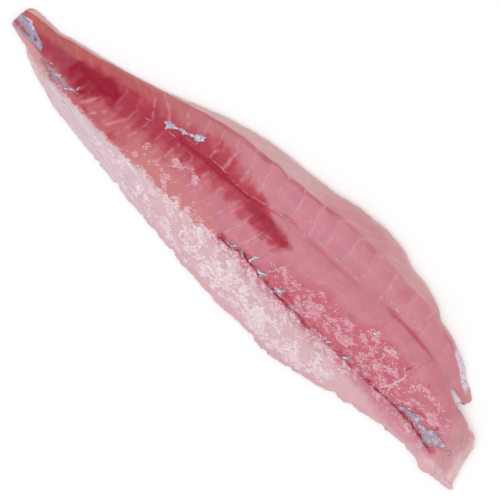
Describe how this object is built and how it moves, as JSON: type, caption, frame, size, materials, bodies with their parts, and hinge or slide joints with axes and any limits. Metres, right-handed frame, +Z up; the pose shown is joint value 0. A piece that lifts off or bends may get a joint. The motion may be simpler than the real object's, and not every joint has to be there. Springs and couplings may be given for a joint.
{
  "type": "raw gurnard fillet",
  "caption": "Raw boneless gurnard fillet lying flesh side up: a long tapering side of fish with a thick back lobe, a belly flap folded against it, and a short slit at the head end.",
  "frame": {"origin": "on the resting surface, under the middle of the fillet's bounding box", "axes": "+X along the fillet from the tail cut to the head cut, +Y toward the fish's back, +Z up through the flesh side"},
  "size_m": [0.2399, 0.0646, 0.0146],
  "materials": {
    "raw_flesh": "moist, slightly glossy"
  },
  "bodies": {
    "root": {"fillet": "raw_flesh"}
  },
  "joints": []
}
